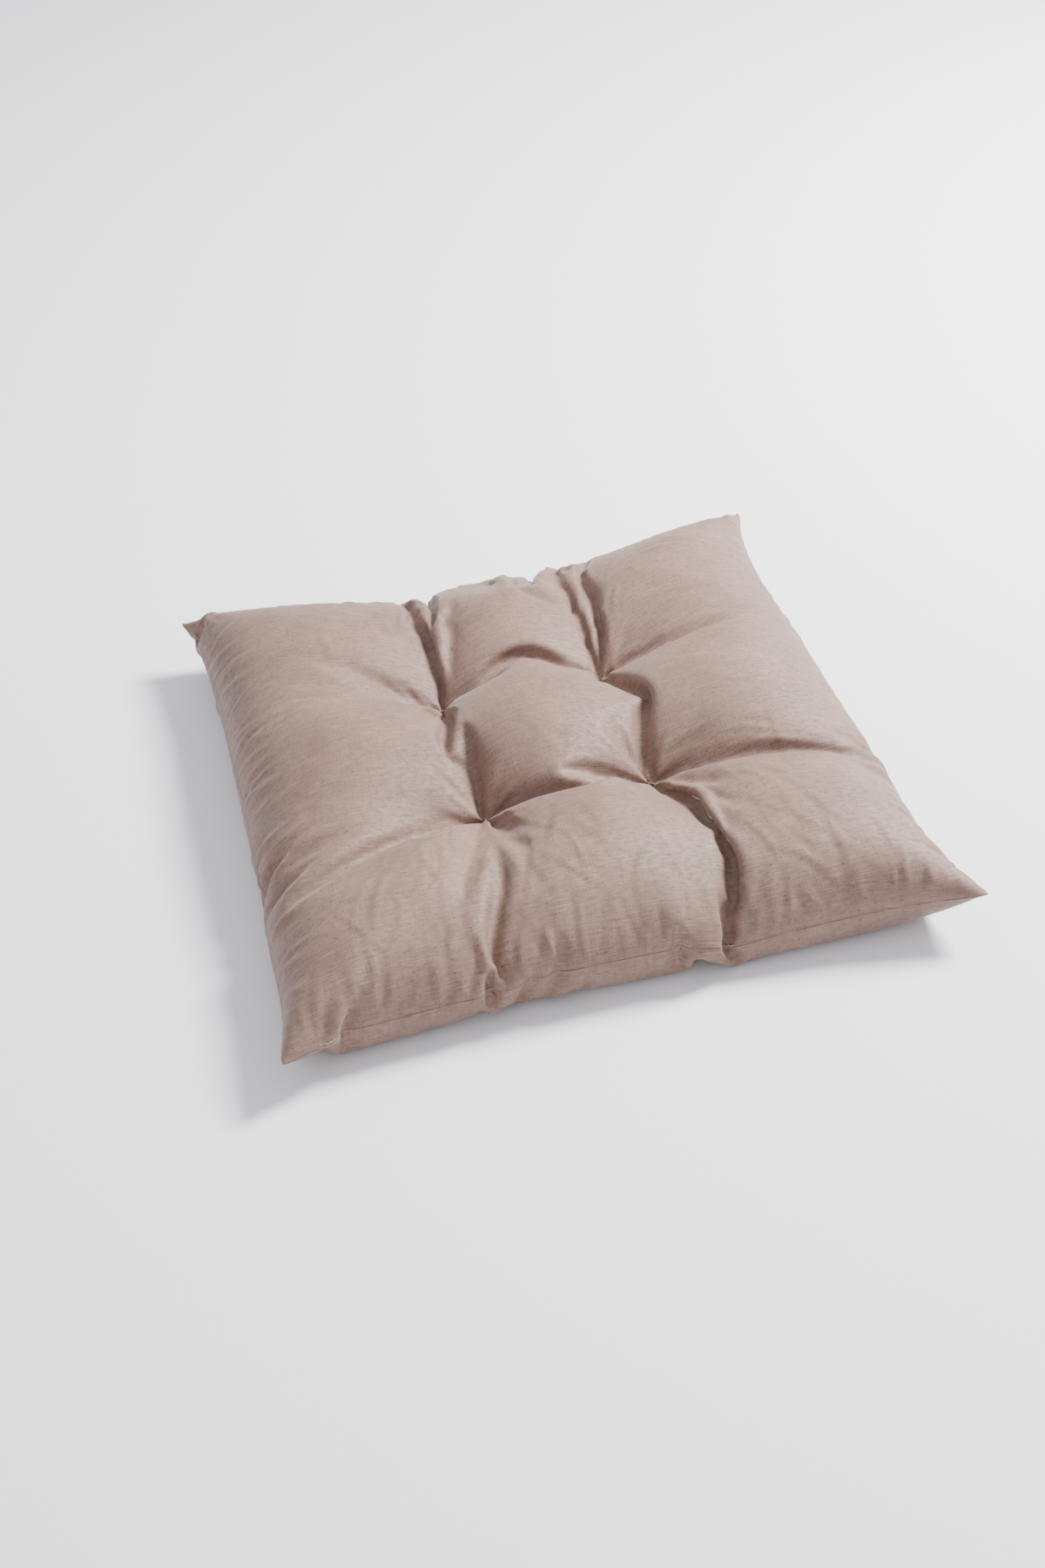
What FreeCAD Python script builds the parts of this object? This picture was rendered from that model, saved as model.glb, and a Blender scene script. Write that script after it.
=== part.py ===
"""Tufted chair seat pad: a square, knife-edge cushion that is free-standing and soft.

Two fabric panels are sewn together round the edge, stuffed with loose polyester fibre and
closed by hand along the back edge. Four thread ties go right through the pad and pull the two
panels together, which leaves nine lobes on the top and four dimples in the underside.

Frame: millimetres, +Z up, the front edge faces -Y, and the origin is on the resting plane,
below the middle of the pad. Neighbouring parts are cut from the same envelopes, so that they
meet face to face: what one part gives up, the next one fills.
"""

import FreeCAD, Part
import Sketcher

import math
import os

from FreeCAD import Placement, Rotation, Vector

doc = FreeCAD.newDocument("chair_seat_pad")

# ---------------------------------------------------------------- driving dimensions
SIZES = [
    ("pad_width", 400.0),  # corner to corner, left to right
    ("pad_depth", 400.0),  # corner to corner, front to back
    ("side_inset", 18.0),  # how far the stuffing pulls in the middle of each side
    ("seam_height", 20.0),  # the edge seam above the resting plane
    ("crown_rise", 56.0),  # the middle of the top panel above the seam
    ("waist_height", 8.0),  # halfway round the edge of the underside: its height ...
    ("waist_inset", 7.0),  # ... and how far in it lies from the seam
    ("foot_inset", 26.0),  # where the underside meets the resting plane, in from the seam
    ("brow_radius", 50.0),  # how round the top is, all round the crown
    ("valley_radius", 60.0),  # the round valleys between the lobes
    ("valley_depth_across", 15.0),  # their lowest lines, below the top of the crown
    ("valley_depth_along", 14.0),
    ("fabric_thickness", 0.8),
    ("tuft_spacing_across", 104.0),
    ("tuft_spacing_along", 110.0),
    ("tuft_top_height", 37.0),  # the top fabric at a tuft, above the resting plane
    ("tuft_under_height", 12.0),  # the bottom fabric at a tuft, above the resting plane
    ("tuft_seat_radius", 5.0),  # the small flat patch that a tie pulls in
    ("tuft_flare", 0.6),  # how far a dimple's wall leans out for each millimetre of height
    ("seam_allowance", 10.0),  # width of fabric turned inside at the edge seam
    ("seam_inset", 3.0),  # the seam thread, in from the folded edge
    ("seam_thread_diameter", 0.6),
    ("seam_corner_radius", 15.0),
    ("closing_length", 150.0),  # the opening at the back that the fibre went in through
    ("closing_inset", 2.0),  # the closing thread, in from the middle of the back edge
    ("closing_pitch", 6.0),  # each run inside one fold before it crosses to the other
    ("closing_rise", 1.6),  # the runs above and below the seam plane
    ("closing_thread_diameter", 0.7),
    ("tie_diameter", 1.3),
    ("tie_leg_spacing", 3.0),
    ("thread_bite", 0.2),  # how far threads and knots press into the fabric
    ("knot_diameter", 5.5),
    ("tail_length", 7.0),  # the two cut ends below each knot
    ("tail_slope", 40.0),  # degrees below level
]
sheet = doc.addObject("Spreadsheet::Sheet", "sizes")
for row, (alias, value) in enumerate(SIZES, start=1):
    sheet.set(f"A{row}", alias)
    sheet.set(f"B{row}", str(value))
    sheet.setAlias(f"B{row}", alias)
doc.recompute()


def size(alias):
    """A driving dimension, as a plain number."""
    return float(getattr(sheet, alias))


def add(kind, name, links=None, **bound):
    """A document object: links are set as they are, the rest are bound to expressions.

    Two underscores in a keyword stand for a dot, as in Placement__Base__z.
    """
    obj = doc.addObject(kind, name)
    for prop, value in (links or {}).items():
        setattr(obj, prop, value)
    for prop, expression in bound.items():
        obj.setExpression(prop.replace("__", "."), expression)
    return obj


def cut(name, base, *tools):
    """base less every tool, one after another."""
    for number, tool in enumerate(tools, start=1):
        label = name if number == len(tools) else f"{name}_cut_{number}"
        base = add("Part::Cut", label, {"Base": base, "Tool": tool})
    return base


def fuse(name, *shapes):
    return add("Part::MultiFuse", name, {"Shapes": list(shapes)})


def slab(name, bottom, top, width="sizes.pad_width * 2", front="-sizes.pad_depth"):
    """A box between two heights, centred on x and reaching from front to beyond the back edge."""
    return add(
        "Part::Box",
        name,
        Length=width,
        Width="sizes.pad_depth * 2",
        Height=f"({top}) - ({bottom})",
        Placement__Base__x=f"-({width}) / 2",
        Placement__Base__y=front,
        Placement__Base__z=bottom,
    )


# ---------------------------------------------------------------- stuffed halves
# Both halves meet on the seam plane along a line whose sides are pulled in between the corners.


def arc(start, middle, end):
    return Part.Arc(Vector(*start), Vector(*middle), Vector(*end)).toShape()


x, y, inset = size("pad_width") / 2, size("pad_depth") / 2, size("side_inset")
seam_line = doc.addObject("Part::Feature", "seam_line")
seam_line.Shape = Part.Wire(
    [
        arc((-x, -y, 0), (0, inset - y, 0), (x, -y, 0)),
        arc((x, -y, 0), (x - inset, 0, 0), (x, y, 0)),
        arc((x, y, 0), (0, y - inset, 0), (-x, y, 0)),
        arc((-x, y, 0), (inset - x, 0, 0), (-x, -y, 0)),
    ]
)


def line_inside(name, inward, height="0"):
    """The seam's line moved in, at a height above the resting plane; both are expressions."""
    moved = add("Part::Offset2D", name, {"Source": seam_line}, Value=f"-({inward})")
    moved.setExpression("Placement.Base.z", height)
    return moved


def crown(name, inward):
    """The upper half of the pad as a solid: upright walls on the seam and a well-rounded brow.

    inward is how far its faces lie inside the pad's, for the inner face of the fabric.
    """
    outline = line_inside(f"{name}_outline", inward, f"sizes.seam_height + {inward}")
    block = add(
        "Part::Extrusion",
        f"{name}_block",
        {"Base": outline, "Dir": Vector(0, 0, 1), "DirMode": "Custom", "Solid": True},
        LengthFwd=f"sizes.crown_rise - 2 * {inward}",
    )
    doc.recompute()
    top = block.Shape.BoundBox.ZMax - 0.01
    # Both faces of the fabric are rounded about the same centres, and no higher than the wall.
    radius = min(size("brow_radius"), 0.9 * size("crown_rise"))
    radius -= 0 if inward == "0" else size("fabric_thickness")
    edges = [
        (number, radius, radius)
        for number, edge in enumerate(block.Shape.Edges, start=1)
        if edge.BoundBox.ZMin > top
    ]
    return add("Part::Fillet", name, {"Base": block, "Edges": edges})


def underside(name, inward):
    """The lower half of the pad as a solid: a rounded edge between the seam and a flat foot.

    The pad's own weight presses the middle of the underside flat on whatever it lies on.
    """
    sections = [
        line_inside(f"{name}_rim", inward, f"sizes.seam_height - {inward}"),
        line_inside(f"{name}_waist", f"{inward} + sizes.waist_inset", "sizes.waist_height"),
        line_inside(f"{name}_foot", f"{inward} + sizes.foot_inset", inward),
    ]
    return add("Part::Loft", name, {"Sections": sections, "Solid": True, "Ruled": False})


def valleys(name, inward):
    """The valleys between the lobes, as tools: round troughs that cross at the four ties."""
    reach = "2 * (sizes.pad_width + sizes.pad_depth)"
    troughs = []
    for number, (direction, sign) in enumerate(
        (("across", -1), ("across", 1), ("along", -1), ("along", 1)), start=1
    ):
        level = Vector(0, 1, 0) if direction == "across" else Vector(1, 0, 0)
        spacing = "along" if direction == "across" else "across"
        trough = add(
            "Part::Cylinder",
            f"{name}_{number}",
            {"Placement": Placement(Vector(0, 0, 0), Rotation(level, 90 if level.y else -90))},
            Radius=f"sizes.valley_radius + {inward}",
            Height=reach,
        )
        start, line = ("x", "y") if direction == "across" else ("y", "x")
        trough.setExpression(f"Placement.Base.{start}", f"-({reach}) / 2")
        trough.setExpression(
            f"Placement.Base.{line}", f"{sign} * sizes.tuft_spacing_{spacing} / 2"
        )
        trough.setExpression(
            "Placement.Base.z",
            "sizes.seam_height + sizes.crown_rise + sizes.valley_radius"
            f" - sizes.valley_depth_{direction}",
        )
        troughs.append(trough)
    return troughs


crown_outer = crown("crown_outer", "0")
crown_inner = crown("crown_inner", "sizes.fabric_thickness")
lower_outer = underside("lower_outer", "0")
lower_inner = underside("lower_inner", "sizes.fabric_thickness")

# ---------------------------------------------------------------- dimples over the ties
TUFTS = {
    "front_left": (-1, -1),
    "front_right": (1, -1),
    "back_left": (-1, 1),
    "back_right": (1, 1),
}


def dimples(name, side, inward):
    """The hollows at the four ties, as one tool: a flat seat and a wall that leans out from it.

    side is "top" or "under". inward is an expression for how far the hollow's faces lie inside
    the outer face of the fabric.
    """
    seat = f"sizes.tuft_{side}_height"
    radius = f"sizes.tuft_seat_radius + ({inward})"
    height = "2 * sizes.crown_rise"
    wells = []
    for place, (across, along) in TUFTS.items():
        well = add(
            "Part::Cone",
            f"{name}_{place}",
            {"Placement": Placement(Vector(0, 0, 0), Rotation(Vector(1, 0, 0), 0))},
            Radius1=radius,
            Radius2=f"{radius} + sizes.tuft_flare * {height}",
            Height=height,
            Placement__Base__x=f"{across} * sizes.tuft_spacing_across / 2",
            Placement__Base__y=f"{along} * sizes.tuft_spacing_along / 2",
            Placement__Base__z=f"{seat} - ({inward})" if side == "top" else f"{seat} + ({inward})",
        )
        if side == "under":
            well.Placement = Placement(well.Placement.Base, Rotation(Vector(1, 0, 0), 180))
        wells.append(well)
    return fuse(name, *wells)


# ---------------------------------------------------------------- seam allowances
# Both panels turn in along the seam and lie flat on each other there. The stuffing reaches the
# seam plane only in the core, which is what the two turned-in edges leave open.


allowance_line = line_inside("allowance_line", "sizes.seam_allowance")
core = add(
    "Part::Extrusion",
    "core",
    {"Base": allowance_line, "Dir": Vector(0, 0, 1), "DirMode": "Custom", "Solid": True},
    LengthFwd="2 * sizes.fabric_thickness",
    Placement__Base__z="sizes.seam_height - sizes.fabric_thickness",
)

# ---------------------------------------------------------------- edge seam thread
# The machine seam runs from one end of the opening, round the pad, to the other end. The needle
# thread lies on the upper allowance and the bobbin thread under the lower one.
shrunk_line = line_inside("shrunk_line", "sizes.seam_inset + sizes.seam_corner_radius")
stitch_line = add(
    "Part::Offset2D", "stitch_line", {"Source": shrunk_line}, Value="sizes.seam_corner_radius"
)
thread_section = add(
    "Part::Circle",
    "thread_section",
    {"Placement": Placement(Vector(0, 0, 0), Rotation(Vector(0, 1, 0), 90))},
    Radius="sizes.seam_thread_diameter / 2",
    Placement__Base__y="sizes.side_inset + sizes.seam_inset - sizes.pad_depth / 2",
)
opening = slab("opening", "-sizes.crown_rise", "sizes.crown_rise", "sizes.closing_length", "0")
runs = []
for name, level in {
    "needle_thread": "sizes.fabric_thickness + sizes.seam_thread_diameter / 2 - sizes.thread_bite",
    "bobbin_thread": "sizes.thread_bite - sizes.fabric_thickness - sizes.seam_thread_diameter / 2",
}.items():
    loop = add(
        "Part::Sweep",
        name + "_loop",
        {"Sections": [thread_section], "Spine": (stitch_line, []), "Solid": True},
    )
    run = cut(name, loop, opening)
    run.setExpression("Placement.Base.z", f"sizes.seam_height + {level}")
    runs.append(run)

# At each end of the seam the two threads are locked together through the allowances.
half_opening = size("closing_length") / 2
end_y = max(
    point.y
    for point in seam_line.Shape.Edges[2].discretize(2001)
    if abs(point.x) <= half_opening + 1
)
locks = [
    add(
        "Part::Cylinder",
        f"thread_lock_{side}",
        Radius="sizes.seam_thread_diameter / 2",
        Height="2 * sizes.fabric_thickness + sizes.seam_thread_diameter",
        Placement__Base__x=f"{sign} * (sizes.closing_length / 2 + sizes.seam_thread_diameter)",
        Placement__Base__y=f"{end_y} - sizes.seam_inset",
        Placement__Base__z=(
            "sizes.seam_height - sizes.fabric_thickness - sizes.seam_thread_diameter / 2"
        ),
    )
    for side, sign in {"left": -1, "right": 1}.items()
]
edge_seam_thread = fuse("edge_seam_thread", *runs, *locks)

# ---------------------------------------------------------------- closing stitch
# A hidden slip stitch: the thread runs inside the upper fold, crosses both turned-in edges,
# runs inside the lower fold and crosses back, again and again along the opening.


def sketch_on(body, name, role="XZ_Plane"):
    """A sketch in one of the body's own origin planes."""
    sketch = body.newObject("Sketcher::SketchObject", name)
    plane = next(f for f in body.Origin.OriginFeatures if f.Role == role)
    sketch.AttachmentSupport = [(plane, "")]
    sketch.MapMode = "FlatFace"
    return sketch


def constrain(sketch, *definition, bound=None):
    """Add a constraint and, for a dimension, bind it to an expression."""
    index = sketch.addConstraint(Sketcher.Constraint(*definition))
    if bound:
        sketch.setExpression(f"Constraints[{index}]", bound)


def pipe(body, name, path, section, transition):
    feature = body.newObject("PartDesign::AdditivePipe", name)
    feature.Profile = section
    feature.Spine = (path, [])
    feature.Transition = transition
    return feature


closing_stitch = doc.addObject("PartDesign::Body", "closing_stitch")
wave = sketch_on(closing_stitch, "closing_wave")
pitch, rise = size("closing_pitch"), size("closing_rise")
corners = [(0, -rise), (0, rise), (pitch, rise), (pitch, -rise), (2 * pitch, -rise)]
for start, end in zip(corners, corners[1:]):
    wave.addGeometry(Part.LineSegment(Vector(*start, 0), Vector(*end, 0)))
for line in range(3):
    constrain(wave, "Coincident", line, 2, line + 1, 1)
for line, direction in enumerate(("Vertical", "Horizontal", "Vertical", "Horizontal")):
    constrain(wave, direction, line)
constrain(wave, "PointOnObject", 0, 1, -2)
constrain(wave, "DistanceY", -1, 1, 0, 2, rise, bound="sizes.closing_rise")
constrain(wave, "DistanceY", 0, 1, -1, 1, rise, bound="sizes.closing_rise")
constrain(wave, "DistanceX", 1, 1, 1, 2, pitch, bound="sizes.closing_pitch")
constrain(wave, "DistanceX", 3, 1, 3, 2, pitch, bound="sizes.closing_pitch")
constrain(wave, "Horizontal", 2, 2, 0, 1)
wave_section = sketch_on(closing_stitch, "closing_section", "XY_Plane")
wave_section.setExpression("AttachmentOffset.Base.z", "-sizes.closing_rise")
wave_section.addGeometry(Part.Circle(Vector(0, 0, 0), Vector(0, 0, 1), 0.3))
constrain(wave_section, "Coincident", 0, 3, -1, 1)
constrain(wave_section, "Diameter", 0, 0.7, bound="sizes.closing_thread_diameter")
doc.recompute()
one_wave = pipe(closing_stitch, "one_wave", wave, wave_section, "Right corner")
all_waves = closing_stitch.newObject("PartDesign::LinearPattern", "all_waves")
all_waves.Originals = [one_wave]
all_waves.Direction = (wave, ["H_Axis"])
waves = "max(2; round(sizes.closing_length / (2 * sizes.closing_pitch)))"
all_waves.setExpression("Occurrences", waves)
all_waves.setExpression("Length", f"2 * sizes.closing_pitch * ({waves} - 1)")
closing_stitch.Tip = all_waves
closing_stitch.setExpression("Placement.Base.x", f"-sizes.closing_pitch * {waves}")
closing_stitch.setExpression(
    "Placement.Base.y", "sizes.pad_depth / 2 - sizes.side_inset - sizes.closing_inset"
)
closing_stitch.setExpression("Placement.Base.z", "sizes.seam_height")

# ---------------------------------------------------------------- tuft ties
# Each tie is a doubled thread: it loops over the top panel, its two legs go down through the
# stuffing, and its ends are knotted under the bottom panel and cut off short.


def tuft_tie(name, across, along):
    body = doc.addObject("PartDesign::Body", name)
    loop = sketch_on(body, name + "_loop")
    low, high, half = 9.0, 36.0, 1.5
    loop.addGeometry(Part.LineSegment(Vector(half, low, 0), Vector(half, high, 0)))
    bend = Part.Circle(Vector(0, high, 0), Vector(0, 0, 1), half)
    loop.addGeometry(Part.ArcOfCircle(bend, 0, math.pi))
    loop.addGeometry(Part.LineSegment(Vector(-half, high, 0), Vector(-half, low, 0)))
    constrain(loop, "Tangent", 0, 2, 1, 1)
    constrain(loop, "Tangent", 1, 2, 2, 1)
    constrain(loop, "Vertical", 0)
    constrain(loop, "PointOnObject", 1, 3, -2)
    constrain(loop, "Horizontal", 0, 1, 2, 2)
    constrain(loop, "Radius", 1, half, bound="sizes.tie_leg_spacing / 2")
    # The bend is as low as the thread can be pulled: its middle bites into the top panel.
    bend_height = (
        "sizes.tuft_top_height + sizes.tie_diameter / 2 - sizes.thread_bite"
        " - sizes.tie_leg_spacing / 2"
    )
    knot_height = "sizes.tuft_under_height + sizes.thread_bite - sizes.knot_diameter / 2"
    constrain(loop, "DistanceY", -1, 1, 1, 3, high, bound=bend_height)
    constrain(loop, "DistanceY", -1, 1, 0, 1, low, bound=knot_height)
    section = sketch_on(body, name + "_section", "XY_Plane")
    section.setExpression("AttachmentOffset.Base.z", knot_height)
    section.addGeometry(Part.Circle(Vector(half, 0, 0), Vector(0, 0, 1), 0.6))
    constrain(section, "PointOnObject", 0, 3, -1)
    constrain(section, "DistanceX", -1, 1, 0, 3, half, bound="sizes.tie_leg_spacing / 2")
    constrain(section, "Diameter", 0, 1.3, bound="sizes.tie_diameter")
    doc.recompute()
    pipe(body, name + "_thread", loop, section, "Transformed")
    knot = body.newObject("PartDesign::AdditiveSphere", name + "_knot")
    knot.Placement = Placement(Vector(0, 0, 0), Rotation(Vector(0, 0, 1), 40))
    knot.setExpression("Radius", "sizes.knot_diameter / 2")
    knot.setExpression("Placement.Base.z", knot_height)
    for side, heading in (("left", 200), ("right", -20)):
        tail = body.newObject("PartDesign::AdditiveCylinder", f"{name}_tail_{side}")
        turn = Rotation(Vector(0, 0, 1), heading)
        lean = Rotation(Vector(0, 1, 0), 90 + size("tail_slope"))
        tail.Placement = Placement(Vector(0, 0, 0), turn * lean)
        tail.setExpression("Radius", "sizes.tie_diameter / 2")
        tail.setExpression("Height", "sizes.tail_length")
        tail.setExpression("Placement.Base.z", knot_height)
    body.setExpression("Placement.Base.x", f"{across} * sizes.tuft_spacing_across / 2")
    body.setExpression("Placement.Base.y", f"{along} * sizes.tuft_spacing_along / 2")
    return body


ties = [tuft_tie(f"tuft_tie_{place}", *signs) for place, signs in TUFTS.items()]

# ---------------------------------------------------------------- panels and stuffing
upper_body = cut(
    "upper_body", crown_outer, *valleys("valley", "0"), dimples("top_dimples", "top", "0")
)
upper_room = cut(
    "upper_room",
    crown_inner,
    *valleys("valley_lining", "sizes.fabric_thickness"),
    dimples("top_lining", "top", "sizes.fabric_thickness"),
)
lower_body = cut("lower_body", lower_outer, dimples("under_dimples", "under", "0"))
lower_room = cut(
    "lower_room", lower_inner, dimples("under_lining", "under", "sizes.fabric_thickness")
)
threads = fuse("threads", *ties, edge_seam_thread, closing_stitch)
top_panel = cut("top_panel", upper_body, upper_room, core, threads)
bottom_panel = cut("bottom_panel", lower_body, lower_room, core, threads)
fibre_fill = cut("fibre_fill", fuse("stuffed_room", upper_room, core, lower_room), threads)

# ---------------------------------------------------------------- check and write
doc.recompute()
for obj in doc.Objects:
    if {"Invalid", "Error"} & set(obj.State):
        raise RuntimeError(f"{obj.Name} did not recompute: {obj.State}")

os.makedirs("parts", exist_ok=True)
for obj in (top_panel, bottom_panel, fibre_fill, edge_seam_thread, closing_stitch, *ties):
    shape = obj.Shape
    if shape.isNull() or not shape.isValid():
        raise RuntimeError(f"{obj.Label} has no valid shape")
    if len(shape.Solids) != 1:
        raise RuntimeError(f"{obj.Label} is {len(shape.Solids)} solids, not one")
    shape.exportStep(f"parts/{obj.Label}.step")
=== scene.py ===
"""Tufted chair seat pad in taupe linen-look cotton, lying on a pale studio floor."""

import math

import bpy
import numpy as np
from mathutils import Matrix


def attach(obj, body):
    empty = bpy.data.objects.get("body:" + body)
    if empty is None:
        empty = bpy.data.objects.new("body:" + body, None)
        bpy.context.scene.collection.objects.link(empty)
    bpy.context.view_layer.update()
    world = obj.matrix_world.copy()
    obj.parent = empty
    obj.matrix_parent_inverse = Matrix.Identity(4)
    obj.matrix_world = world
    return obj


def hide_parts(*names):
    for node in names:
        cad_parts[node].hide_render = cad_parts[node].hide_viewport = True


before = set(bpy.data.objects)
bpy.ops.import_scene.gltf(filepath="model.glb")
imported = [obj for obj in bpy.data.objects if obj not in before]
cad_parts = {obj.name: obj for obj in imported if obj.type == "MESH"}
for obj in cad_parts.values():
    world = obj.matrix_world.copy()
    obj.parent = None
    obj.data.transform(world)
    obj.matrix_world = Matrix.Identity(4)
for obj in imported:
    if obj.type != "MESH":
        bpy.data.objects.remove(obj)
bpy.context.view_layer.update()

# ---------------------------------------------------------------- the stuffed cover
# Two square panels of woven cotton are sewn edge to edge, turned and stuffed with loose
# polyester fibre, and four ties then pull them together. The shape comes from the cloth itself:
# flat panels that hardly stretch, pushed apart by the stuffing until they are full.
PANEL_SIDE = 0.424  # seam to seam, cut flat
CELLS = 120  # along one side of a panel, when the cloth has settled at its finest
TUFT_MIDDLE = (0.0036, -0.0008)
TUFT_APART = (0.0508, 0.0549)  # from the middle, once pulled in
TUFT_CUT = (0.0590, 0.0630)  # from the middle, on the flat panels
TUFT_TOP, TUFT_UNDER = 0.031, 0.013  # height of each panel where a tie holds it
SEAM_START = 0.022  # height of the seam before the pad is stuffed
# Where the cloth is gathered: a line on the flat panels, how hard it is pinched along that line,
# and in which panels, 0 for the top one and 1 for the under one.
GATHERS = [
    ([(0.062, -0.070), (0.080, -0.105), (0.075, -0.150), (0.060, -0.212)], 0.62, (0,)),
    ([(-0.058, 0.068), (-0.058, 0.110), (-0.061, 0.150), (-0.071, 0.212)], 0.55, (0,)),
    ([(-0.056, 0.068), (-0.047, 0.110), (-0.041, 0.150), (-0.040, 0.212)], 0.6, (0,)),
    ([(0.062, 0.068), (0.072, 0.105), (0.076, 0.145), (0.080, 0.212)], 0.5, (0,)),
    ([(0.058, 0.072), (0.058, 0.105), (0.059, 0.150), (0.062, 0.212)], 0.45, (0,)),
    ([(-0.080, -0.172), (-0.083, -0.192), (-0.086, -0.212)], 0.36, (0, 1)),
    ([(0.027, -0.196), (0.028, -0.212)], 0.28, (0, 1)),
    ([(0.012, 0.150), (0.014, 0.212)], 0.35, (0,)),
    ([(0.036, 0.160), (0.042, 0.212)], 0.4, (0,)),
    ([(-0.075, -0.068), (-0.120, -0.078)], 0.12, (0,)),
    ([(0.076, 0.060), (0.125, 0.052)], 0.12, (0,)),
    ([(0.075, -0.060), (0.125, -0.072)], 0.16, (0,)),
    ([(-0.060, -0.080), (-0.072, -0.112)], 0.14, (0,)),
    ([(-0.192, 0.200), (-0.212, 0.190)], 0.15, (0, 1)),
    ([(-0.172, -0.194), (-0.180, -0.212)], 0.3, (0, 1)),
    ([(0.194, -0.170), (0.212, -0.176)], 0.4, (0, 1)),
]
rng = np.random.default_rng(11)


def gathered_cells(n):
    """For each step along the gathers: (panel, middle cell, cell on each side of it, strength)."""
    step = PANEL_SIDE / (n - 1)
    found = []
    for line, strength, panels in GATHERS:
        line = np.array(line)
        far = np.concatenate([[0], np.cumsum(np.linalg.norm(np.diff(line, axis=0), axis=1))])
        places = np.arange(0, far[-1] + step / 2, step)
        path = np.stack([np.interp(places, far, line[:, k]) for k in (0, 1)], -1)
        ahead = np.gradient(path, axis=0)
        ahead /= np.linalg.norm(ahead, axis=1)[:, None]
        aside = np.stack([-ahead[:, 1], ahead[:, 0]], -1)
        for k, (place, across) in enumerate(zip(path, aside)):
            cells = [
                np.clip(np.round((q + PANEL_SIDE / 2) / step), 0, n - 1).astype(int)
                for q in (place, place - across * 0.0075, place + across * 0.0075)
            ]
            fade = min(1, (k + 1) * step / 0.015)
            found += [(panel, *cells[0], *cells[1], *cells[2], strength * fade) for panel in panels]
    return found


def tuft_cells(n):
    """For each cell of cloth under a tie: (row, column, its place on top, its place below)."""
    step = PANEL_SIDE / (n - 1)
    reach = int(0.004 / step)
    cells = []
    for side in (-1, 1):
        for end in (-1, 1):
            i = round((side * TUFT_CUT[0] + PANEL_SIDE / 2) / step)
            j = round((end * TUFT_CUT[1] + PANEL_SIDE / 2) / step)
            for a in range(-reach, reach + 1):
                for b in range(-reach, reach + 1):
                    x = TUFT_MIDDLE[0] + side * TUFT_APART[0] + a * step * 0.2
                    y = TUFT_MIDDLE[1] + end * TUFT_APART[1] + b * step * 0.2
                    cells.append((i + a, j + b, (x, y, TUFT_TOP), (x, y, TUFT_UNDER)))
    return cells


def pairs(grid, first, gap, every, aside=(slice(None), slice(None))):
    """Two views of a grid of cloth: rows of it, and the rows that lie gap further on."""
    last = grid.shape[1] - gap
    return grid[:, first:last:every, aside[0]], grid[:, first + gap :: every, aside[1]]


def hold(a, b, free_a, free_b, length, pull, push):
    """Moves two rows of cloth points towards their length apart: pulls if long, pushes if short."""
    gap = b - a
    now = np.sqrt((gap * gap).sum(-1, keepdims=True)) + 1e-12
    over = (now - length) / now
    gap *= over * np.where(over > 0, pull, push) / (free_a + free_b + 1e-9)
    a += free_a * gap
    b -= free_b * gap


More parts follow.
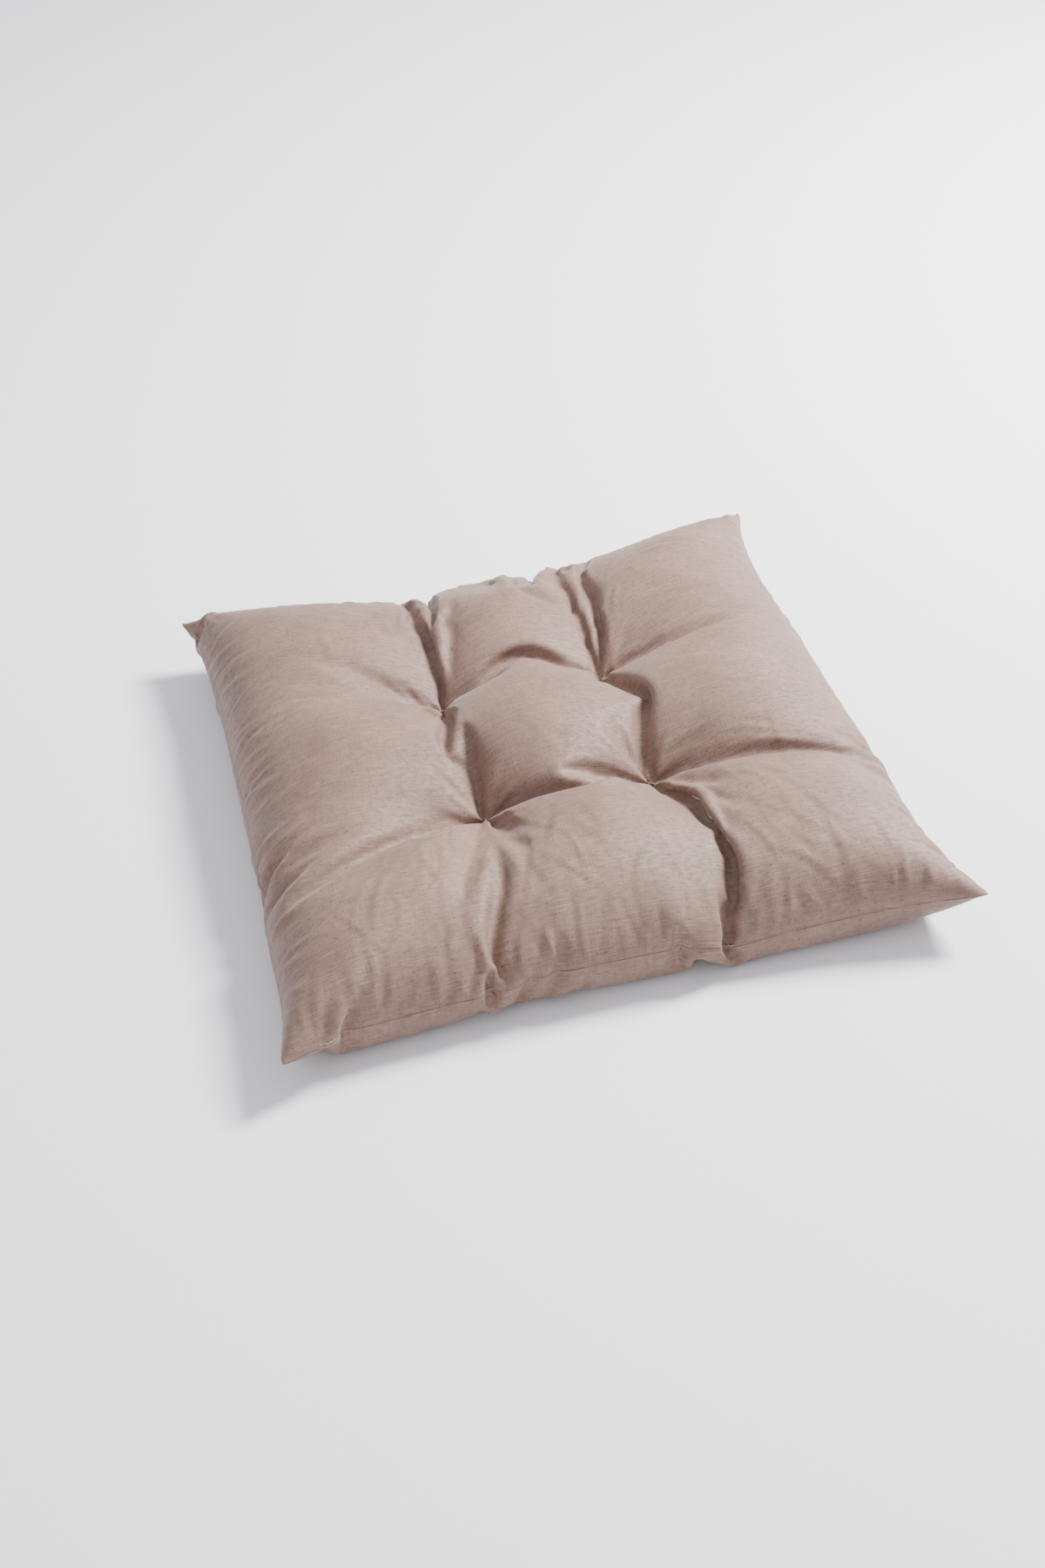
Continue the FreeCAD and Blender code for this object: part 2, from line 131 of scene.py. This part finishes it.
def stuff(cloth, steps, puff, weight, pulled):
    """Lets both panels settle: cloth[0] is the top one and cloth[1] the under one."""
    n = cloth.shape[1]
    step = PANEL_SIDE / (n - 1)
    free = np.ones((2, n, n, 1))
    ties = tuft_cells(n)
    for i, j, _, _ in ties:
        free[:, i, j] = 0
    start = {(i, j): cloth[:, i, j].copy() for i, j, _, _ in ties}
    before = cloth.copy()
    gathers = gathered_cells(n) if n > 50 else []
    fullness = np.ones((2, n, n, 1))
    for panel, i, j, *_, strength in gathers:
        fullness[panel, i, j] = min(fullness[panel, i, j, 0], 1 - 2.4 * strength)
    if gathers:
        sides = np.array([g[3:7] for g in gathers])
        on = np.array([g[0] for g in gathers])
        left, right = (on, sides[:, 0], sides[:, 1]), (on, sides[:, 2], sides[:, 3])
        slack = np.array([0.015 * (1 - 0.6 * g[7]) for g in gathers])[:, None]
    both_ways = ((cloth, free), (cloth.swapaxes(1, 2), free.swapaxes(1, 2)))
    less_last, less_first = slice(None, -1), slice(1, None)
    for turn in range(steps):
        move = (cloth - before) * 0.96
        fast = np.sqrt((move * move).sum(-1, keepdims=True))
        move *= np.minimum(1, 0.002 / (fast + 1e-12))
        before = cloth.copy()
        out = np.cross(np.gradient(cloth, axis=1), np.gradient(cloth, axis=2)) / step**2
        out[1] *= -1
        cloth += free * (move + puff * min(1, 0.2 + turn / (0.3 * steps)) * fullness * out)
        cloth[..., 2:] -= free * weight
        for _ in range(10):
            # The threads hardly stretch, the weave shears a little, and the cloth resists a bend.
            for k in (0, 1):
                for grid, loose in both_ways:
                    hold(*pairs(grid, k, 1, 2), *pairs(loose, k, 1, 2), step, 1, 0.7)
                for aside in ((less_last, less_first), (less_first, less_last)):
                    ends = (*pairs(cloth, k, 1, 2, aside), *pairs(free, k, 1, 2, aside))
                    hold(*ends, step * math.sqrt(2), 0.15, 0.15)
            for k in range(4):
                for grid, loose in both_ways:
                    hold(*pairs(grid, k, 2, 4), *pairs(loose, k, 2, 4), 2 * step, 0, 0.05)
            for edge in ((slice(None), 0), (slice(None), -1), (0, slice(None)), (-1, slice(None))):
                cloth[(slice(None), *edge)] = (cloth[(0, *edge)] + cloth[(1, *edge)]) / 2
            if gathers:
                gap = cloth[right] - cloth[left]
                now = np.linalg.norm(gap, axis=1, keepdims=True) + 1e-9
                gap *= 0.3 * np.maximum(0, now - slack) / now
                np.add.at(cloth, left, gap * 0.5)
                np.add.at(cloth, right, gap * -0.5)
            share = min(1, pulled + 2 * turn / steps)
            for i, j, top, under in ties:
                cloth[:, i, j] = start[i, j] * (1 - share) + np.array((top, under)) * share
            cloth[..., 2] = np.maximum(cloth[..., 2], 0)
        lying = cloth[..., 2] < 0.0003
        cloth[..., :2] -= 0.4 * (cloth - before)[..., :2] * lying[..., None]
    return cloth


n = CELLS // 4 + 1
along = np.linspace(-PANEL_SIDE / 2, PANEL_SIDE / 2, n)
across, deep = np.meshgrid(along, along, indexing="ij")
plump = 0.006 * np.cos(math.pi * across / PANEL_SIDE) * np.cos(math.pi * deep / PANEL_SIDE)
cover = np.stack([np.stack([across, deep, SEAM_START + s * plump], -1) for s in (1, -1)])
for stage_number, steps in enumerate((160, 90, 120)):
    if stage_number:
        m = cover.shape[1]
        finer = np.zeros((2, 2 * m - 1, 2 * m - 1, 3))
        finer[:, ::2, ::2] = cover
        finer[:, 1::2, ::2] = (cover[:, 1:] + cover[:, :-1]) / 2
        finer[:, :, 1::2] = (finer[:, :, 2::2] + finer[:, :, :-2:2]) / 2
        cover = finer
    cover[:, 1:-1, 1:-1] += rng.normal(0, 0.0006 / 2**stage_number, cover[:, 1:-1, 1:-1].shape)
    gentle = 0.5 ** (1.6 * stage_number)
    cover = stuff(cover, steps, 0.0003 * gentle, 0.000095 * gentle, 1 if stage_number else 0)


def relay(grid):
    """The grid of cloth points made finer on smooth curves through every point, both ways."""
    for axis in (0, 1):
        g = np.moveaxis(grid, axis, 0)
        out = np.zeros((2 * len(g) - 1, *g.shape[1:]))
        out[::2] = g
        padded = np.concatenate([2 * g[:1] - g[1:2], g, 2 * g[-1:] - g[-2:-1]])
        out[1::2] = (9 * (padded[1:-2] + padded[2:-1]) - padded[:-3] - padded[3:]) / 16
        grid = np.moveaxis(out, 0, axis)
    return grid


top_sheet, under_sheet = relay(cover[0]), relay(cover[1])

# ---------------------------------------------------------------- small wrinkles
# The cotton is thin and has been handled: short sharp creases run out from the ties, in from the
# gathered seam, and across the loose lobes at the sides.
WRINKLES = [
    # where on the flat panel, spread, heading in degrees, how far it strays, length, depth, count
    ((-0.150, 0.055), (0.035, 0.022), 5, 18, 0.036, 0.00042, 26),
    ((-0.145, -0.030), (0.030, 0.040), 12, 24, 0.034, 0.00036, 20),
    ((0.150, 0.060), (0.028, 0.045), -12, 12, 0.034, 0.00050, 40),
    ((0.145, -0.040), (0.030, 0.035), -4, 14, 0.036, 0.00045, 24),
    ((0.085, 0.125), (0.020, 0.035), 62, 14, 0.045, 0.00070, 18),
    ((0.000, 0.170), (0.040, 0.018), 88, 12, 0.035, 0.00070, 18),
    ((-0.060, 0.150), (0.020, 0.030), 95, 14, 0.045, 0.00060, 14),
    ((-0.085, -0.115), (0.030, 0.025), 68, 16, 0.042, 0.00060, 20),
    ((-0.020, -0.130), (0.040, 0.030), 98, 14, 0.045, 0.00055, 26),
    ((0.100, -0.130), (0.025, 0.035), 105, 16, 0.045, 0.00050, 18),
    ((-0.130, -0.150), (0.035, 0.030), 60, 20, 0.040, 0.00045, 18),
    ((0.150, -0.150), (0.030, 0.030), 120, 20, 0.036, 0.00040, 16),
    ((0.000, 0.000), (0.035, 0.030), 90, 50, 0.026, 0.00030, 16),
    ((-0.110, 0.150), (0.040, 0.030), 30, 35, 0.036, 0.00040, 20),
]


def outward(sheet, face_up):
    """The unit normals of a grid of points, pointing out of the pad."""
    n = np.cross(np.gradient(sheet, axis=0), np.gradient(sheet, axis=1))
    n /= np.linalg.norm(n, axis=-1, keepdims=True) + 1e-12
    return n if face_up else -n


def crumple(sheet, face_up):
    """Adds the small wrinkles to the fine sheet, along its normals."""
    rows = sheet.shape[0]
    flat = np.linspace(-PANEL_SIDE / 2, PANEL_SIDE / 2, rows)
    fx, fy = np.meshgrid(flat, flat, indexing="ij")
    lift = np.zeros((rows, rows))

    def streak(x, y, heading, length, width, depth, bow):
        ca, sa = math.cos(heading), math.sin(heading)
        ahead = (fx - x) * ca + (fy - y) * sa
        aside = -(fx - x) * sa + (fy - y) * ca + bow * ahead**2
        near = np.exp(-((ahead / length) ** 2))
        # A fine crest with a hollow along one side, as a crease in ironed cloth has.
        crest = np.exp(-((aside / width) ** 2))
        hollow = np.exp(-((aside / width - 1.7) ** 2))
        return depth * near * (crest - 0.7 * hollow)

    for (x, y), (wide, deep), heading, stray, length, depth, count in WRINKLES:
        for _ in range(count):
            lift += streak(
                rng.normal(x, wide),
                rng.normal(y, deep),
                math.radians(rng.normal(heading, stray)),
                length * rng.uniform(0.25, 0.75),
                rng.uniform(0.0016, 0.0032),
                depth * rng.uniform(0.3, 1.0),
                rng.normal(0, 6),
            )
    for side in (-1, 1):
        for end in (-1, 1):
            for _ in range(26):
                turn = rng.uniform(0, 2 * math.pi)
                away = rng.uniform(0.012, 0.030)
                lift += streak(
                    side * TUFT_CUT[0] + away * math.cos(turn),
                    end * TUFT_CUT[1] + away * math.sin(turn),
                    turn + rng.normal(0, 0.15),
                    rng.uniform(0.008, 0.020),
                    rng.uniform(0.0014, 0.0026),
                    rng.uniform(0.0003, 0.0008),
                    0,
                )
    for k in range(150):
        place, quarter = rng.uniform(-0.2, 0.2), k % 4
        x, y = ((place, 0.198), (place, -0.198), (0.198, place), (-0.198, place))[quarter]
        lift += streak(
            x,
            y,
            rng.normal(0, 0.22) + (math.pi / 2 if quarter < 2 else 0),
            rng.uniform(0.008, 0.022),
            rng.uniform(0.0018, 0.0034),
            rng.uniform(0.0003, 0.0009),
            0,
        )
    inside = np.minimum(1, (PANEL_SIDE / 2 - np.maximum(abs(fx), abs(fy))) / 0.006)
    lift *= inside if face_up else 0.4 * inside
    return sheet + outward(sheet, face_up) * lift[..., None]


top_sheet, under_sheet = crumple(top_sheet, True), crumple(under_sheet, False)
under_sheet[..., 2] = np.maximum(under_sheet[..., 2], 0)

# ---------------------------------------------------------------- woven cotton panels
# Both panels are one woven cotton with a linen look: taupe yarn-dyed cloth with thick and thin
# threads, a few dark flecks and a soft lustre. Each is 0.8 mm thick, with its edges turned in
# along the seam.
CLOTH = 0.0008


def border(number):
    """Round the four sides of a grid of numbers, once."""
    return np.concatenate([number[:-1, 0], number[-1, :-1], number[:0:-1, -1], number[0, :0:-1]])


def grid_faces(number, face_up):
    quads = np.stack([number[:-1, :-1], number[1:, :-1], number[1:, 1:], number[:-1, 1:]], -1)
    quads = quads.reshape(-1, 4)
    return quads if face_up else quads[:, ::-1]


rows = top_sheet.shape[0]
number = np.arange(rows * rows).reshape(rows, rows)
round_seam = border(number)
seam_edge = top_sheet.reshape(-1, 3)[round_seam]


def seam_inward(reach=5):
    """For each point round the seam, the way in between the panels, short where it is tight."""
    deeper = border(np.pad(number[reach:-reach, reach:-reach], reach, mode="edge"))
    between = (top_sheet.reshape(-1, 3)[deeper] + under_sheet.reshape(-1, 3)[deeper]) / 2
    way = between - seam_edge
    # Where a gather closes up the edge, the turned-in cloth has less room and lies folded short.
    gap = np.linalg.norm((top_sheet - under_sheet).reshape(-1, 3)[deeper], axis=1)
    room = np.clip((gap - 0.002) / 0.006, 0.05, 1)
    for _ in range(6):
        way = (np.roll(way, 1, 0) + 2 * way + np.roll(way, -1, 0)) / 4
        room = np.minimum(room, (np.roll(room, 1) + np.roll(room, -1)) / 2 + 0.05)
    line = np.linspace(-0.2, 0.2, rows)
    place = np.stack(np.meshgrid(line, line, indexing="ij"), -1).reshape(-1, 2)[round_seam]
    for gather, _, _ in GATHERS:
        near = np.linalg.norm(place - np.array(gather[-1]) * 0.2 / 0.212, axis=1)
        room = np.minimum(room, np.clip((near - 0.004) / 0.012, 0.08, 1))
    return way * (room / (np.linalg.norm(way, axis=1) + 1e-9))[:, None]


inward = seam_inward()


def make_mesh(name, points, faces, flat=None):
    """A smooth mesh; flat is where its points lie on the flat panel, in metres."""
    mesh = bpy.data.meshes.new(name)
    mesh.from_pydata(np.asarray(points).tolist(), [], [list(f) for f in faces])
    mesh.polygons.foreach_set("use_smooth", [True] * len(mesh.polygons))
    if flat is not None:
        cut = mesh.uv_layers.new(name="cut")
        corner = np.empty(len(mesh.loops), dtype=np.int32)
        mesh.loops.foreach_get("vertex_index", corner)
        cut.uv.foreach_set("vector", flat[corner].astype(np.float32).ravel())
    mesh.update()
    return mesh


def piece(name, mesh, material, *nodes):
    """A finished piece that stands for these parts of the pad."""
    made = bpy.data.objects.new(name, mesh)
    bpy.context.scene.collection.objects.link(made)
    mesh.materials.append(material)
    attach(made, "root")
    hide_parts(*nodes)
    return made


def panel_mesh(name, sheet, face_up):
    """A closed panel of cloth: outside, turned-in edge, and inside."""
    flat = np.stack(np.meshgrid(*[np.linspace(0, PANEL_SIDE, rows)] * 2, indexing="ij"), -1)
    edge = sheet.reshape(-1, 3)[round_seam]
    up = np.cross(inward, np.roll(edge, -2, 0) - np.roll(edge, 2, 0))
    up *= np.sign(up[:, 2:]) / (np.linalg.norm(up, axis=1)[:, None] + 1e-12)
    up *= 1 if face_up else -1
    outside = sheet.reshape(-1, 3).copy()
    outside[round_seam] += up * CLOTH * 0.5 + inward * 0.0002
    points, flats = [outside], [flat.reshape(-1, 2)]
    faces, last, count = [grid_faces(number, face_up)], round_seam, rows * rows
    # Round the fold, in along the allowance, round its raw edge and back: how far in the cloth
    # has gone, and how high it is in thicknesses of cloth.
    for far, high in (
        (0.0, 0.18),
        (0.0006, 0.04),
        (0.0040, 0.04),
        (0.0098, 0.04),
        (0.0100, 0.5),
        (0.0096, 1.02),
        (0.0045, 1.04),
    ):
        points.append(edge + inward * far + up * CLOTH * high)
        flats.append(flat.reshape(-1, 2)[round_seam])
        this = count + np.arange(len(edge))
        strip = np.stack([last, this, np.roll(this, -1), np.roll(last, -1)], -1)
        faces.append(strip if face_up else strip[:, ::-1])
        last, count = this, count + len(edge)
    inner = (sheet - outward(sheet, face_up) * CLOTH)[::2, ::2][2:-2, 2:-2]
    inner_number = count + np.arange(inner.shape[0] ** 2).reshape(inner.shape[:2])
    points.append(inner.reshape(-1, 3))
    flats.append(flat[::2, ::2][2:-2, 2:-2].reshape(-1, 2))
    faces.append(grid_faces(inner_number, not face_up))
    # A strip of triangles joins the inside to the end of the turned-in edge.
    inner_ring = border(inner_number)
    every = len(last) / len(inner_ring)
    joins = []
    for k, near in enumerate(inner_ring):
        start, stop = round(k * every), round((k + 1) * every)
        joins += [
            (last[m % len(last)], near, last[(m + 1) % len(last)]) for m in range(start, stop)
        ]
        joins.append((last[stop % len(last)], near, inner_ring[(k + 1) % len(inner_ring)]))
    if not face_up:
        joins = [f[::-1] for f in joins]
    every_face = [*np.concatenate(faces).tolist(), *joins]
    return make_mesh(name, np.concatenate(points), every_face, np.concatenate(flats))


cotton = bpy.data.materials.new("taupe woven cotton")
cotton.use_nodes = True
tree = cotton.node_tree
skin = tree.nodes["Principled BSDF"]
skin.inputs["Sheen Weight"].default_value = 0.22
skin.inputs["Sheen Roughness"].default_value = 0.35
skin.inputs["Sheen Tint"].default_value = (1.0, 0.93, 0.90, 1)


def node(kind, **sockets):
    made = tree.nodes.new(kind)
    for name, value in sockets.items():
        made.inputs[name.replace("_", " ")].default_value = value
    return made


def link(a, b):
    tree.links.new(a, b)


def mixed(a, b, share):
    """Two colours mixed; a is a socket or a colour, b a colour, and share a socket."""
    mix = tree.nodes.new("ShaderNodeMix")
    mix.data_type = "RGBA"
    link(share, mix.inputs["Factor"])
    if isinstance(a, tuple):
        mix.inputs[6].default_value = a
    else:
        link(a, mix.inputs[6])
    mix.inputs[7].default_value = b
    return mix.outputs[2]


def ramp(value, low, high, start=0.0, stop=1.0):
    """A value from low to high, turned into one from start to stop."""
    made = node("ShaderNodeMapRange", From_Min=low, From_Max=high, To_Min=start, To_Max=stop)
    link(value, made.inputs["Value"])
    return made.outputs["Result"]


flat_cloth = tree.nodes.new("ShaderNodeUVMap")
flat_cloth.uv_map = "cut"


def threads_noise(across, along, detail=3.0):
    """Noise on the flat cloth that runs with its threads: cells per metre each way."""
    stretch = node("ShaderNodeMapping")
    stretch.inputs["Scale"].default_value = (across, along, 1)
    made = node("ShaderNodeTexNoise", Scale=1.0, Detail=detail, Roughness=0.6)
    link(flat_cloth.outputs["UV"], stretch.inputs["Vector"])
    link(stretch.outputs["Vector"], made.inputs["Vector"])
    return made.outputs["Fac"]


weft = threads_noise(60, 1500)
warp = threads_noise(1400, 80)
cloudy = threads_noise(26, 34)
mottle = threads_noise(240, 420)
specks = threads_noise(420, 700, 0.0)
base = mixed((0.160, 0.092, 0.067, 1), (0.236, 0.141, 0.105, 1), ramp(cloudy, 0.3, 0.7))
base = mixed(base, (0.325, 0.214, 0.168, 1), ramp(weft, 0.48, 0.70, 0.0, 0.70))
base = mixed(base, (0.118, 0.068, 0.049, 1), ramp(warp, 0.50, 0.72, 0.0, 0.50))
base = mixed(base, (0.126, 0.074, 0.053, 1), ramp(mottle, 0.48, 0.72, 0.0, 0.62))
base = mixed(base, (0.075, 0.045, 0.035, 1), ramp(specks, 0.72, 0.79, 0.0, 0.65))
link(base, skin.inputs["Base Color"])
link(ramp(mottle, 0.3, 0.7, 0.55, 0.75), skin.inputs["Roughness"])
height = tree.nodes.new("ShaderNodeMath")
height.operation = "ADD"
link(weft, height.inputs[0])
link(warp, height.inputs[1])
weave = node("ShaderNodeBump", Strength=0.35, Distance=0.0004)
link(height.outputs[0], weave.inputs["Height"])
link(weave.outputs["Normal"], skin.inputs["Normal"])

for panel, sheet, face_up in (
    ("top_panel", top_sheet, True),
    ("bottom_panel", under_sheet, False),
):
    mesh = panel_mesh(panel + "_cloth", sheet, face_up)
    piece(panel + "_cloth", mesh, cotton, panel)

# ---------------------------------------------------------------- polyester stuffing
# White hollow polyester fibre, pushed in loose by hand through the opening in the back seam.
# It fills the cover, so it has the cover's own shape, and comes no further than the seam.
white_fibre = bpy.data.materials.new("white polyester fibre")
white_fibre.use_nodes = True
tree = white_fibre.node_tree
fluff = tree.nodes["Principled BSDF"]
fluff.inputs["Base Color"].default_value = (0.86, 0.86, 0.84, 1)
fluff.inputs["Roughness"].default_value = 0.95
fluff.inputs["Sheen Weight"].default_value = 0.3
noise = node("ShaderNodeTexNoise", Scale=900, Detail=6)
bump = node("ShaderNodeBump", Strength=0.5, Distance=0.0006)
link(node("ShaderNodeTexCoord").outputs["Object"], noise.inputs["Vector"])
link(noise.outputs["Fac"], bump.inputs["Height"])
link(bump.outputs["Normal"], fluff.inputs["Normal"])


def stuffing_mesh():
    """The room between the panels, a little smaller, with a wall round it inside the seam."""
    layers = []
    middle = (top_sheet + under_sheet) / 2
    for sheet, face_up in ((top_sheet, True), (under_sheet, False)):
        inside = sheet - outward(sheet, face_up) * (CLOTH + 0.0008)
        inside = middle + (inside - middle) * 0.86
        layers.append(inside[::2, ::2][9:-9, 9:-9])
    side = layers[0].shape[0]
    upper = np.arange(side * side).reshape(side, side)
    lower = upper + side * side
    rim, under_rim = border(upper), border(lower)
    wall = np.stack([rim, under_rim, np.roll(under_rim, -1), np.roll(rim, -1)], -1)
    faces = np.concatenate([grid_faces(upper, True), grid_faces(lower, False), wall])
    points = np.concatenate([layer.reshape(-1, 3) for layer in layers])
    return make_mesh("fibre_fill_wadding", points, faces)


stuffing = piece("fibre_fill_wadding", stuffing_mesh(), white_fibre, "fibre_fill")

# ---------------------------------------------------------------- edge seam thread
# A machine lockstitch in matching polyester thread, 3 mm in from the folded edge. It is inside
# the cover: it runs from one end of the opening in the back edge, round the pad, to the other.
SEAM_IN, STITCH, THREAD = 0.003, 0.0028, 0.0003


def tube(path, radius, sides=6):
    """Points and faces of a closed tube round a path."""
    path = np.asarray(path, dtype=float)
    along_path = np.gradient(path, axis=0)
    along_path /= np.linalg.norm(along_path, axis=1)[:, None] + 1e-12
    side = np.cross(along_path[0], (0.3, 0.2, 1.0))
    rings = []
    for point, ahead in zip(path, along_path):
        side -= ahead * side.dot(ahead)
        side /= np.linalg.norm(side)
        across_path = np.cross(ahead, side)
        turns = np.arange(sides) * 2 * math.pi / sides
        ring = np.outer(np.cos(turns), side) + np.outer(np.sin(turns), across_path)
        rings.append(point + radius * ring)
    points = np.concatenate([*rings, path[:1], path[-1:]])
    faces = []
    for k in range(len(path) - 1):
        for s in range(sides):
            t = (s + 1) % sides
            faces.append((k * sides + s, k * sides + t, (k + 1) * sides + t, (k + 1) * sides + s))
    last = (len(path) - 1) * sides
    for s in range(sides):
        t = (s + 1) % sides
        faces.append((len(points) - 2, t, s))
        faces.append((len(points) - 1, last + s, last + t))
    return points, faces


def joined(name, *tubes):
    """Several tubes as one mesh."""
    points, faces, count = [], [], 0
    for some_points, some_faces in tubes:
        points.append(some_points)
        faces += [tuple(count + v for v in f) for f in some_faces]
        count += len(some_points)
    return make_mesh(name, np.concatenate(points), faces)


def matt(name, colour, roughness=0.7, sheen=0.2):
    made = bpy.data.materials.new(name)
    made.use_nodes = True
    shader = made.node_tree.nodes["Principled BSDF"]
    shader.inputs["Base Color"].default_value = (*colour, 1)
    shader.inputs["Roughness"].default_value = roughness
    shader.inputs["Sheen Weight"].default_value = sheen
    return made


seam_line = seam_edge + inward * SEAM_IN
back_middle = int(np.argmin(np.abs(seam_line[:, 0]) + 10 * (seam_line[:, 1] < 0.1)))
seam_line = np.roll(seam_line, -back_middle, axis=0)
seam_line = np.concatenate([seam_line, seam_line[:1]])
length = np.concatenate([[0], np.cumsum(np.linalg.norm(np.diff(seam_line, axis=0), axis=1))])
OPENING = 0.150


def on_seam(far):
    """The point that far along the seam, from the middle of the back edge."""
    return np.stack([np.interp(far, length, seam_line[:, k]) for k in range(3)], -1)


steps = np.arange(OPENING / 2, length[-1] - OPENING / 2, STITCH / 5)
beat = np.abs(np.sin(np.pi * steps / STITCH))
threads = []
for side in (1, -1):
    path = on_seam(steps)
    path[:, 2] += side * (CLOTH * 1.1 * np.minimum(1, 2.2 * beat) + THREAD)
    threads.append(tube(path, THREAD, 5))
cotton_thread = matt("taupe sewing thread", (0.30, 0.225, 0.20), 0.6, 0.3)
lockstitch = joined("edge_seam_lockstitch", *threads)
piece("edge_seam_lockstitch", lockstitch, cotton_thread, "edge_seam_thread")

# ---------------------------------------------------------------- closing stitch
# The opening in the back edge is closed by hand with a slip stitch in the same thread, doubled:
# it runs inside one fold, crosses, and runs inside the other, and little of it shows.
RUN, RISE, CLOSING_IN = 0.006, 0.0009, 0.0012
steps = np.arange(-OPENING / 2, OPENING / 2, 0.0005)
square = np.tanh(4 * np.sin(np.pi * steps / RUN))
way = np.roll(inward, -back_middle, axis=0)
way = np.concatenate([way, way[:1]])
path = on_seam(np.mod(steps, length[-1]))
turned = np.stack([np.interp(np.mod(steps, length[-1]), length, way[:, k]) for k in range(3)], -1)
path -= turned * (SEAM_IN - CLOSING_IN)
path[:, 2] += square * RISE
slip_stitch = joined("closing_slip_stitch", tube(path, 0.00035))
piece("closing_slip_stitch", slip_stitch, cotton_thread, "closing_stitch")

# ---------------------------------------------------------------- tuft ties
# Waxed two-ply twine, doubled. Each tie goes over the top panel, down through the stuffing and
# out below, where its ends are knotted and cut off short.
twine = matt("dark waxed twine", (0.10, 0.07, 0.055), 0.5, 0.1)


def laid_twine(path, radius=0.00062):
    """Two strands twisted round each other along a path."""
    path = np.asarray(path)
    gaps = np.linalg.norm(np.diff(path, axis=0), axis=1)
    far = np.concatenate([[0], np.cumsum(gaps)])
    fine = np.arange(0, far[-1], 0.0004)
    path = np.stack([np.interp(fine, far, path[:, k]) for k in range(3)], -1)
    along_path = np.gradient(path, axis=0)
    along_path /= np.linalg.norm(along_path, axis=1)[:, None] + 1e-12
    side = np.cross(along_path[0], (0.31, 0.24, 0.9))
    strands = [[], []]
    for point, ahead, distance in zip(path, along_path, fine):
        side -= ahead * side.dot(ahead)
        side /= np.linalg.norm(side)
        across_path = np.cross(ahead, side)
        angle = 2 * math.pi * distance / 0.0042
        swing = radius * 0.5 * (math.cos(angle) * side + math.sin(angle) * across_path)
        strands[0].append(point + swing)
        strands[1].append(point - swing)
    return [tube(strand, radius * 0.56, 6) for strand in strands]


middle = (rows - 1) / 2
for name, side, end in (
    ("front_left", -1, -1),
    ("front_right", 1, -1),
    ("back_left", -1, 1),
    ("back_right", 1, 1),
):
    i = round(middle + side * TUFT_CUT[0] / PANEL_SIDE * (rows - 1))
    j = round(middle + end * TUFT_CUT[1] / PANEL_SIDE * (rows - 1))
    top, under = top_sheet[i, j], under_sheet[i, j]
    turn = np.linspace(0, math.pi, 15)
    loop = np.stack([0.0015 * np.cos(turn), 0 * turn, 0.0009 * np.sin(turn)], -1)
    loop += top + (0, 0, 0.0002)
    legs = [under + (0.0009, 0, -0.001), *loop, under + (-0.0009, 0, -0.001)]
    strands = laid_twine(legs)
    # An overhand knot: the twine turns round itself just below the panel.
    u = np.linspace(0, 2 * math.pi, 60)
    knot = np.stack(
        [
            0.00075 * (np.sin(u) + 2 * np.sin(2 * u)),
            0.00075 * (np.cos(u) - 2 * np.cos(2 * u)),
            -0.00075 * np.sin(3 * u),
        ],
        -1,
    )
    strands += laid_twine(knot + under + (0, 0, -0.0022))
    for heading in (200, -20):
        a = math.radians(heading + rng.uniform(-12, 12))
        s = np.linspace(0, 1, 12)[:, None]
        out = np.array((math.cos(a), math.sin(a), 0)) * 0.0075
        tail = under + (0, 0, -0.0022) + s * out + s**2 * np.array((0, 0, -0.004))
        strands += laid_twine(tail)
    tie = f"tuft_tie_{name}"
    piece(tie + "_twine", joined(tie + "_twine", *strands), twine, tie)

# ---------------------------------------------------------------- studio
# A wide pale floor, one soft lamp above and to the right, even light from the room all round, and
# a camera that looks down on the pad from the front.
floor_mesh = bpy.data.meshes.new("floor")
corners = [(x, y, -0.0003) for x, y in ((-6, -6), (6, -6), (6, 6), (-6, 6))]
floor_mesh.from_pydata(corners, [], [(0, 1, 2, 3)])
floor = bpy.data.objects.new("floor", floor_mesh)
bpy.context.scene.collection.objects.link(floor)
floor_mesh.materials.append(matt("pale floor", (0.93, 0.92, 0.95), 0.9, 0.0))

world = bpy.data.worlds.new("studio")
bpy.context.scene.world = world
world.use_nodes = True
room_light = world.node_tree.nodes["Background"]
room_light.inputs["Color"].default_value = (0.93, 0.94, 1.0, 1)
room_light.inputs["Strength"].default_value = 1.06

light = bpy.data.lights.new("key", "AREA")
light.shape, light.size, light.energy = "DISK", 0.6, 112
lamp = bpy.data.objects.new("key", light)
lamp.location = (1.25, 0.45, 1.25)
lamp.rotation_euler = (-lamp.location).to_track_quat("-Z", "Y").to_euler()
bpy.context.scene.collection.objects.link(lamp)

camera_data = bpy.data.cameras.new("camera")
camera_data.lens = 53.3
camera = bpy.data.objects.new("camera", camera_data)
turn = (
    Matrix.Rotation(math.radians(-11.5), 4, "Z")
    @ Matrix.Rotation(math.radians(90 - 38.9), 4, "X")
    @ Matrix.Rotation(math.radians(-4.6), 4, "Z")
)
camera.matrix_world = turn @ Matrix.Translation((-0.0117, 0.0030, 1.423))
bpy.context.scene.collection.objects.link(camera)
bpy.context.scene.camera = camera
